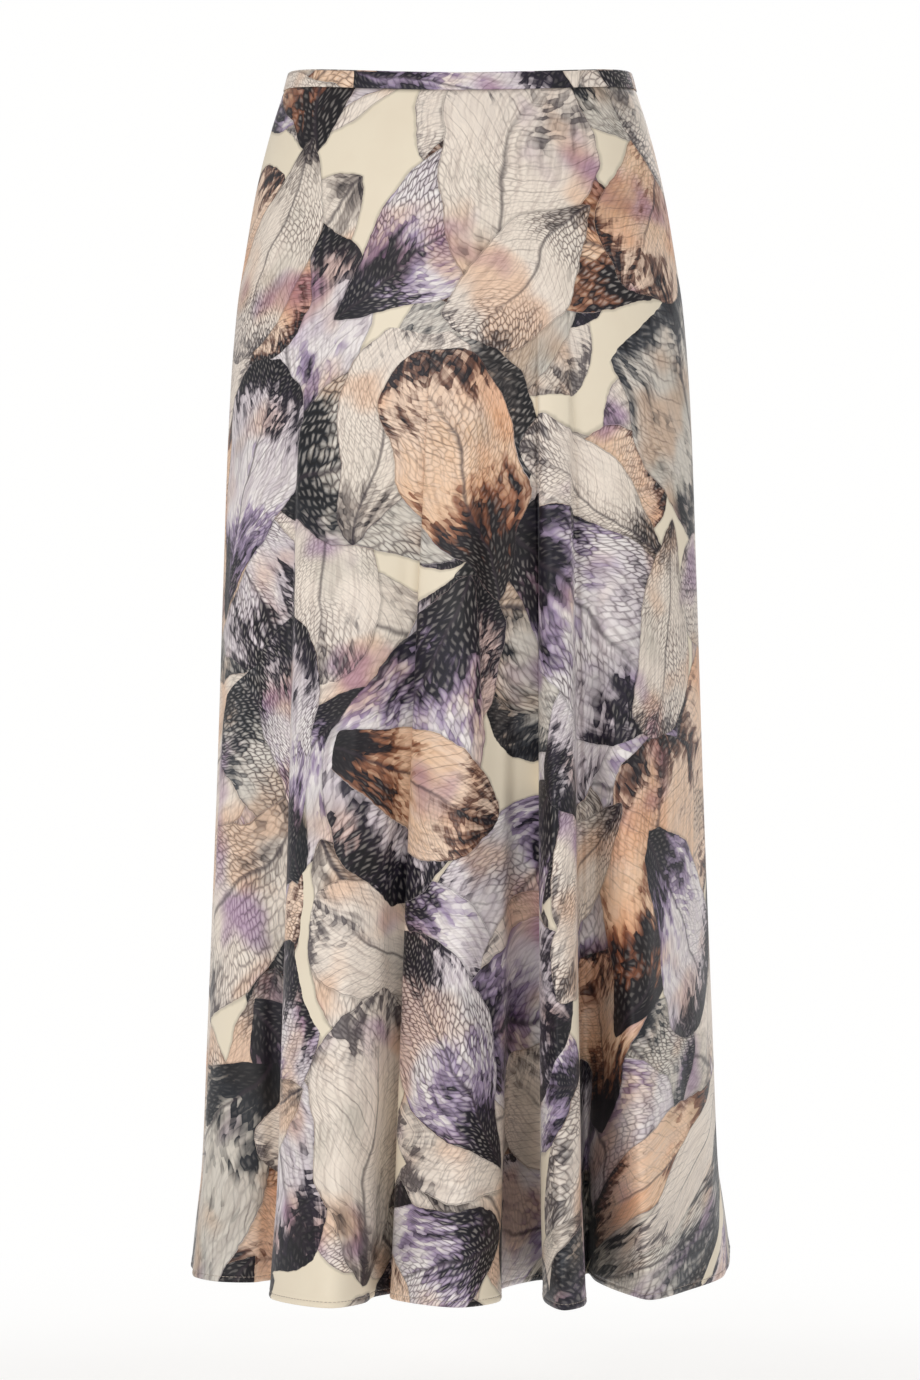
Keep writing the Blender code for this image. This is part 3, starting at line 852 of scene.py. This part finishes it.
def leaf_fields(tree, leaf):
    """Small fields of a leaf: how far a place is from a field's edge, and the field's own chance."""
    side = calc(tree, "ABSOLUTE", leaf["across"])
    bow = calc(tree, "MULTIPLY_ADD", side, 0.35, 0.8)
    lean = times(tree, times(tree, side, bow), VEIN_SLANT * LEAF_HALF)
    rung = calc(tree, "SUBTRACT", times(tree, leaf["along"], LEAF_LENGTH), lean)
    spot = pack(
        tree,
        calc(tree, "MULTIPLY_ADD", rung, 1 / FIELD_ALONG, leaf["seed"]),
        times(tree, leaf["across"], LEAF_HALF / FIELD_ACROSS),
    )
    edge = cells(tree, spot, FIELD_LOOSE, "DISTANCE_TO_EDGE")["Distance"]
    return edge, unpack(tree, cells(tree, spot, FIELD_LOOSE)["Color"])[0], rung


def run_of_colour(tree, leaf, chance, field_chance, cloth):
    """Washed colour of a leaf, before its veins."""
    rays = pack(tree, times(tree, leaf["fan"], 7.0), times(tree, leaf["along"], 1.3), leaf["seed"])
    wash = noise(tree, cloth, 26.0, 3.0)
    lean = calc(tree, "MULTIPLY_ADD", noise(tree, rays, 1.0, 4.0), 0.50, -0.25)
    drift = calc(tree, "MULTIPLY_ADD", wash, 0.62, -0.31)
    step = calc(tree, "MULTIPLY_ADD", field_chance, 0.16, -0.08)
    rim = times(tree, calc(tree, "POWER", calc(tree, "ABSOLUTE", leaf["fan"]), 3.0), 0.10)
    tone = calc(tree, "ADD", calc(tree, "ADD", leaf["along"], lean), calc(tree, "ADD", drift, rim))
    tone = calc(tree, "ADD", tone, step)
    colour = tone_ramp(tree, tone, TONES["stone"])
    for name, start in TONE_STARTS.items():
        chosen = calc(tree, "GREATER_THAN", chance[1], start)
        colour = mix_colour(tree, chosen, colour, tone_ramp(tree, tone, TONES[name]))
    for shift, low, tint, amount in (
        ((3.0, 1.0, 0.0), 0.57, (180, 150, 206), 0.80),
        ((7.0, 5.0, 0.0), 0.50, (246, 212, 186), 0.70),
        ((2.0, 8.0, 0.0), 0.56, (216, 220, 219), 0.60),
    ):
        pool = patches(tree, calc_vector(tree, "ADD", cloth, shift), 13.0, low, low + 0.14)
        colour = mix_colour(tree, times(tree, pool, amount), colour, light(*tint), "MULTIPLY")
    fibres = patches(tree, rays, 4.0, 0.42, 0.70, 4.0, (0.0, 0.34))
    return mix_colour(tree, fibres, colour, light(166, 152, 152), "MULTIPLY"), wash


def print_colour(tree, cloth):
    """Colour of the print at a place on the cloth."""
    state = top_leaf(tree, cloth)
    along, across, room = unpack(tree, state["leaf"])
    width = calc(tree, "ADD", leaf_outline(tree, along), 0.12)
    chance = add_node(tree, "ShaderNodeSeparateColor", Color=state["chance"]).outputs
    leaf = {"along": along, "across": across, "fan": calc(tree, "DIVIDE", across, width)}
    leaf["seed"] = times(tree, chance[2], 37.0)
    edge, field_chance, rung = leaf_fields(tree, leaf)
    colour, wash = run_of_colour(tree, leaf, chance, field_chance, cloth)

    apart = calc_vector(tree, "ADD", cloth, (1.0, 9.0, 0.0))
    bold = ease(tree, chance[0], 0.1, 0.8, 0.35, 1.0)
    strength = times(tree, patches(tree, apart, 17.0, 0.36, 0.62, 3.0, (0.12, 1.0)), bold)
    net = times(tree, ease(tree, edge, 0.02, 0.20, 0.80, 0.0), strength)
    colour = mix_colour(tree, net, colour, light(92, 78, 88), "MULTIPLY")
    lit = times(tree, ease(tree, edge, 0.18, 0.42, 0.0, 0.30), strength)
    colour = mix_colour(tree, lit, colour, light(238, 228, 218), "SCREEN")
    from_vein = calc(tree, "PINGPONG", calc(tree, "DIVIDE", rung, VEIN_SPACING), 0.5)
    inked = ease(tree, wash, 0.35, 0.6, 1.0, 0.3)
    veins = times(tree, ease(tree, from_vein, 0.0, 0.09, 0.48, 0.0), inked)
    colour = mix_colour(tree, veins, colour, light(96, 82, 90), "MULTIPLY")
    rib = ease(tree, calc(tree, "ABSOLUTE", across), 0.0, 0.04, 0.7, 0.0)
    rib = times(tree, rib, ease(tree, along, 0.6, 0.95, 1.0, 0.0))
    colour = mix_colour(tree, rib, colour, light(50, 40, 48))
    outline = ease(tree, room, 0.3 * MM, 1.5 * MM, 0.65, 0.0)
    colour = mix_colour(tree, outline, colour, light(46, 38, 46))

    ground = mix_colour(tree, ease(tree, wash, 0.4, 0.7, 0.0, 0.35), light(*GROUND), light(221, 206, 184))
    colour = mix_colour(tree, state["bare"], colour, ground)
    return mix_colour(tree, 1.0, colour, state["light"], "MULTIPLY")


# %% [markdown]
# ## Satin crepe, right side and reverse
#
# The cloth is a light satin crepe: a fine weave that catches a soft gleam, and a faint pebbled
# grain. On the bias the threads run at 45 degrees to the centre line, so both are turned by
# that much. The reverse is duller and paler, because the dye doesn't go right through.

# %% Cloth finishes
THREAD = 0.42 * MM


def weave(tree, cloth, strength):
    """Fine threads on the bias over a faint grain, as bump."""
    threads = unpack(tree, turned(tree, cloth, math.radians(45)))
    waves = [calc(tree, "SINE", times(tree, threads[i], 2 * math.pi / THREAD)) for i in (0, 1)]
    woven = times(tree, times(tree, waves[0], waves[1]), 0.35)
    height = calc(tree, "MULTIPLY_ADD", noise(tree, cloth, 900.0), 1.4, woven)
    return bump(tree, height, strength, 0.12 * MM)


def cloth_finish(name, reverse=False):
    """The printed cloth. Its reverse is paler and duller."""
    material, tree, shader = new_material(
        name, 0.5, Specular_IOR_Level=0.2 if reverse else 0.32, Sheen_Weight=0.08, Sheen_Roughness=0.4
    )
    cloth = add_node(tree, "ShaderNodeUVMap", {"uv_map": "cloth"}).outputs[0]
    colour = print_colour(tree, cloth)
    if reverse:
        colour = mix_colour(tree, 0.55, colour, light(*GROUND))
    gleam = patches(tree, cloth, 30.0, ends=(0.70, 0.80) if reverse else (0.44, 0.56))
    threads = weave(tree, cloth, 0.35 if reverse else 0.25)
    feed(tree, shader, Base_Color=colour, Roughness=gleam, Normal=threads)
    print(name, len(tree.nodes), "nodes")
    return material


right_side = cloth_finish("printed satin crepe")
reverse_side = cloth_finish("reverse of the print", reverse=True)

# %% [markdown]
# ## Front and back panels
#
# Both panels use the same steps with their own folds, creases and part of the print. The pieces
# are never cut to match at a side seam, so the print breaks there.

# %% Make the panels
panels = {}
for name, side, count, creases, shift in (
    ("front", -1, FRONT_COLUMNS, FRONT_CREASES, (0.0, 0.0)),
    ("back", 1, BACK_COLUMNS, BACK_CREASES, (4.37, 2.18)),
):
    grid, run = panel_surface(side, hem_columns(side, count), creases)
    flat = flat_panel(grid, run, shift)
    panel = cloth_piece(name + "_panel", grid, flat, right_side, reverse_side)
    panels[name] = (panel, grid, run)
    print(name, "panel", grid.shape[:2], "waist and hem", np.ptp(run[[0, -1]], axis=1).round(3))

# %% [markdown]
# ## The waistband
#
# The band is one strip of the same cloth, folded lengthwise over a stiffener and sewn on along
# its lower edge. It is swept: a small rounded profile is carried round the oval of the waist,
# and the fold at the top stays softer than the pressed edge below.

# %% Make the waistbands
BAND_WALL = 2.0 * MM
BAND_PROUD = 0.5 * MM
BAND_STEPS = 110
BAND_GAP = 0.15 * MM


def band_profile():
    """Closed profile of the band: distance out from the cloth's face, and height below the waist."""
    points = []
    out, inside = BAND_PROUD, BAND_PROUD - BAND_WALL
    soft, crisp = 0.8 * MM, 0.35 * MM
    corners = (
        (out - soft, soft, soft, 90),
        (inside + soft, soft, soft, 180),
        (inside + crisp, BAND_HEIGHT - crisp, crisp, 270),
        (out - crisp, BAND_HEIGHT - crisp, crisp, 360),
    )
    for across, down, radius, turn in corners:
        for step in range(5):
            angle = math.radians(turn - 90 + 90 * step / 4)
            points.append((across + radius * math.cos(angle), down - radius * math.sin(angle)))
    points.append((out + 0.15 * MM, BAND_HEIGHT * 0.66))
    points.append((out + 0.2 * MM, BAND_HEIGHT * 0.4))
    return np.array(points)


def waistband(name, side, shift):
    """Half of the band, closed at both ends."""
    middle = 0 if side < 0 else math.pi
    half_width = section_at(0.0, "half_width")
    reach = math.pi / 2 - side * SEAM_TURN - BAND_GAP / half_width
    turn = np.linspace(-reach, reach, BAND_STEPS + 1)
    profile = band_profile()
    out, down = profile.T
    angle = (middle + turn)[:, None]
    x, y = oval(down, angle)
    rings = (x + out * np.sin(angle), y - out * np.cos(angle), -down - waist_dip(angle))
    sides = np.linalg.norm(np.diff(profile, axis=0, append=profile[:1]), axis=1)
    edge = np.concatenate([[0], np.cumsum(sides)])
    flat = np.meshgrid(half_width * turn + shift[0], edge + shift[1], indexing="ij")
    mesh = grid_mesh(name, np.stack(rings, axis=2), np.stack(flat, axis=2), closed=True)
    return new_piece(name, mesh, right_side)


bands = {
    "front": waistband("front_band", -1, (1.62, 3.35)),
    "back": waistband("back_band", 1, (2.91, 6.43)),
}

# %% [markdown]
# ## Hem stitches
#
# A narrow hem is turned up twice and held by one row of short stitches. There are hundreds, all
# alike, so Geometry Nodes make them: a line is walked in steps of one stitch, a small rod of
# thread with pinched ends is put at each step, turned along the line, and the rods are made
# real at the end.

# %% Stitch tree
THREAD_RADIUS = 0.22 * MM
STITCH_LENGTH = 2.5 * MM
STITCH_PITCH = 3.2 * MM
LINE_INPUTS = {
    "Geometry": "Geometry", "Pitch": "Float", "Radius": "Float", "Length": "Float", "Finish": "Material",
}

thread_finish, tree, shader = new_material("sewing thread", 0.55, Sheen_Weight=0.2)
spot = on_object(tree)
shades = patches(tree, spot, 60.0, 0.35, 0.65)
twist = add_node(tree, "ShaderNodeTexWave", Vector=spot, Scale=900.0).outputs[1]
feed(tree, shader, Base_Color=mix_colour(tree, shades, light(176, 162, 148), light(140, 128, 120)),
     Normal=bump(tree, twist, 0.4, 0.05 * MM))


def pinched_rod(tree, given, sides, full, ends, turn):
    """Rod along Z that is full up to a share of its length and narrower at its ends."""
    rod = add_node(tree, "GeometryNodeMeshCylinder", {"fill_type": "NGON"}, Vertices=sides, Side_Segments=3,
                   Radius=given["Radius"], Depth=given["Length"]).outputs[0]
    place = add_node(tree, "GeometryNodeInputPosition").outputs[0]
    end = calc(tree, "ABSOLUTE", calc(tree, "DIVIDE", unpack(tree, place)[2], given["Length"]))
    pinch = add_node(tree, "ShaderNodeMapRange", Value=end, _1=full, _2=0.5, _3=1.0, _4=ends).outputs[0]
    narrow = calc_vector(tree, "MULTIPLY", place, pack(tree, pinch, pinch, 1.0))
    shaped = add_node(tree, "GeometryNodeSetPosition", Geometry=rod, Position=narrow).outputs[0]
    return add_node(tree, "GeometryNodeTransform", Geometry=shaped, Rotation=turn).outputs[0]


def line_tree(name, sides, full, ends, turn=(0.0, 0.0, 0.0)):
    """Geometry Nodes tree that puts one pinched rod at each step of a line."""
    tree = bpy.data.node_groups.new(name, "GeometryNodeTree")
    for title, kind in LINE_INPUTS.items():
        tree.interface.new_socket(title, in_out="INPUT", socket_type="NodeSocket" + kind)
    tree.interface.new_socket("Geometry", in_out="OUTPUT", socket_type="NodeSocketGeometry")
    given = tree.nodes.new("NodeGroupInput").outputs
    line = add_node(tree, "GeometryNodeMeshToCurve", Mesh=given["Geometry"]).outputs[0]
    walk = add_node(tree, "GeometryNodeResampleCurve", {"mode": "LENGTH"}, Curve=line, Length=given["Pitch"])
    spots = add_node(tree, "GeometryNodeCurveToPoints", {"mode": "EVALUATED"}, Curve=walk.outputs[0])
    aim = add_node(tree, "FunctionNodeAlignRotationToVector", {"axis": "Z"}, Vector=spots.outputs["Tangent"])
    rod = pinched_rod(tree, given, sides, full, ends, turn)
    many = add_node(tree, "GeometryNodeInstanceOnPoints", Points=spots.outputs[0], Instance=rod,
                    Rotation=aim.outputs[0])
    real = add_node(tree, "GeometryNodeRealizeInstances", Geometry=many.outputs[0])
    done = add_node(tree, "GeometryNodeSetMaterial", Geometry=real.outputs[0], Material=given["Finish"])
    end = tree.nodes.new("NodeGroupOutput")
    tree.links.new(done.outputs[0], end.inputs[0])
    return tree


def walk_line(name, points, tree, **values):
    """Run a line tree along points, and keep the result as a plain mesh."""
    mesh = bpy.data.meshes.new(name + " line")
    mesh.from_pydata([tuple(p) for p in points], [(i, i + 1) for i in range(len(points) - 1)], [])
    guide = new_piece(name + " line", mesh)
    step = guide.modifiers.new("repeat", "NODES")
    step.node_group = tree
    keys = {item.name: item.identifier for item in tree.interface.items_tree if item.in_out == "INPUT"}
    for title, value in values.items():
        step[keys[title]] = value
    made = bpy.data.meshes.new_from_object(guide.evaluated_get(bpy.context.evaluated_depsgraph_get()))
    made.name = name
    bpy.data.objects.remove(guide, do_unlink=True)
    for face in made.polygons:
        face.use_smooth = True
    print(name, len(made.polygons), "faces")
    return new_piece(name, made)


stitch_tree = line_tree("row of stitches", sides=6, full=0.2, ends=0.45)

# %% Make the hem stitches
STITCH_PROUD = 0.12 * MM
SEAM_COLUMNS = 3


def hem_line(grid):
    """Line on the outer face where the hem is stitched."""
    row = int(np.argmin(np.abs(LENGTH + grid[:, :, 2].mean(axis=1) - STITCH_ABOVE)))
    out = outward_of(grid)[row]
    return (grid[row] + STITCH_PROUD * out)[SEAM_COLUMNS:-SEAM_COLUMNS]


stitches = {}
for name, (panel, grid, run) in panels.items():
    stitches[name] = walk_line(name + "_hem_stitches", hem_line(grid), stitch_tree, Pitch=STITCH_PITCH,
                               Radius=THREAD_RADIUS, Length=STITCH_LENGTH, Finish=thread_finish)

# %% [markdown]
# ## The zip
#
# The zip is concealed: only its slider and pull come out at the top of the side seam. The tape,
# slider and pull keep the frame's shapes and get their finishes here. The nylon coil is a row
# of small teeth behind the seam, made by the same kind of tree as the stitches. They lie along
# the waist, which has turned by some degrees where the seam is.

# %% Zip finishes
TWILL = 0.9 * MM
tape_finish, tree, shader = new_material("woven tape", 0.85, Sheen_Weight=0.3)
place = unpack(tree, on_object(tree))
twill = calc(tree, "SINE", times(tree, calc(tree, "ADD", place[1], place[2]), 2 * math.pi / TWILL))
# The tape's colour follows the twill's height. Its ridges are painted lighter and its grooves darker, which
# is painted shade in the grooves of the weave over the tape's own two tones.
tape_colour_with_groove_shade = mix_colour(tree, ease(tree, twill, -0.2, 0.9), light(186, 174, 160), light(214, 203, 188))
feed(tree, shader, Base_Color=tape_colour_with_groove_shade, Normal=bump(tree, twill, 0.5, 0.1 * MM))

metal_finish, tree, shader = new_material(
    "enamelled zinc", 0.35, Metallic=0.35, Coat_Weight=0.3, Coat_Roughness=0.2
)
spot = on_object(tree)
cloud = noise(tree, spot, 700.0, 3.0)
metal_colour = mix_colour(tree, ease(tree, cloud, 0.3, 0.7), light(128, 112, 102), light(104, 90, 84))
feed(tree, shader, Base_Color=metal_colour, Normal=bump(tree, cloud, 0.15, 0.05 * MM),
     Roughness=patches(tree, spot, 1500.0, detail=3.0, ends=(0.28, 0.46)))

coil_finish, tree, shader = new_material("nylon coil", 0.4, Specular_IOR_Level=0.5)
cloud = patches(tree, on_object(tree), 300.0)
feed(tree, shader, Base_Color=mix_colour(tree, cloud, light(218, 208, 194), light(196, 184, 168)))

for node, finish in (("zip_tape", tape_finish), ("zip_slider", metal_finish), ("zip_pull", metal_finish)):
    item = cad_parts[node]
    item.data.materials.clear()
    item.data.materials.append(finish)

# %% Make the zip's coil
COIL_START = 0.022
COIL_END = 0.186
COIL_POINTS = 60
COIL_PITCH = 1.25 * MM
TOOTH_RADIUS = 0.35 * MM
TOOTH_WIDTH = 3.6 * MM
COIL_INSET = 3.9 * MM
TOOTH_TURN = math.radians(19)

drops = np.linspace(COIL_START, COIL_END, COIL_POINTS)
seam_angle = np.full(len(drops), math.pi / 2 + SEAM_TURN)
seam_x, seam_y = oval(drops, seam_angle)
out_x = np.sin(seam_angle) / section_at(drops, "half_width")
out_y = -np.cos(seam_angle) / section_at(drops, "back_depth")
inset = COIL_INSET / np.hypot(out_x, out_y)
coil_line = np.stack([seam_x - inset * out_x, seam_y - inset * out_y, -drops], axis=1)
across_zip = (math.pi / 2, 0.0, -TOOTH_TURN)
coil_tree = line_tree("row of teeth", sides=8, full=0.3, ends=0.5, turn=across_zip)
coil = walk_line("zip_coil", coil_line, coil_tree, Pitch=COIL_PITCH, Radius=TOOTH_RADIUS,
                 Length=TOOTH_WIDTH, Finish=coil_finish)

# %% [markdown]
# ## What each piece rides on
#
# Each piece rides on the garment's body, and the frame's solids of the panels and bands are
# hidden, since the cloth pieces stand for them. The box of each panel's flat cut is worked out
# too, though nothing uses it. A flared panel's cut is a piece of a ring, so its box is wider than its area
# says.

# %% Ride and replace
for name, (panel, grid, run) in panels.items():
    flat = np.ptp(flat_panel(grid, run, (0.0, 0.0)), axis=(0, 1))
    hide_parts(name)
    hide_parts("waistband_" + name)
    for piece in (panel, bands[name], stitches[name]):
        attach(piece, "garment")
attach(coil, "garment")
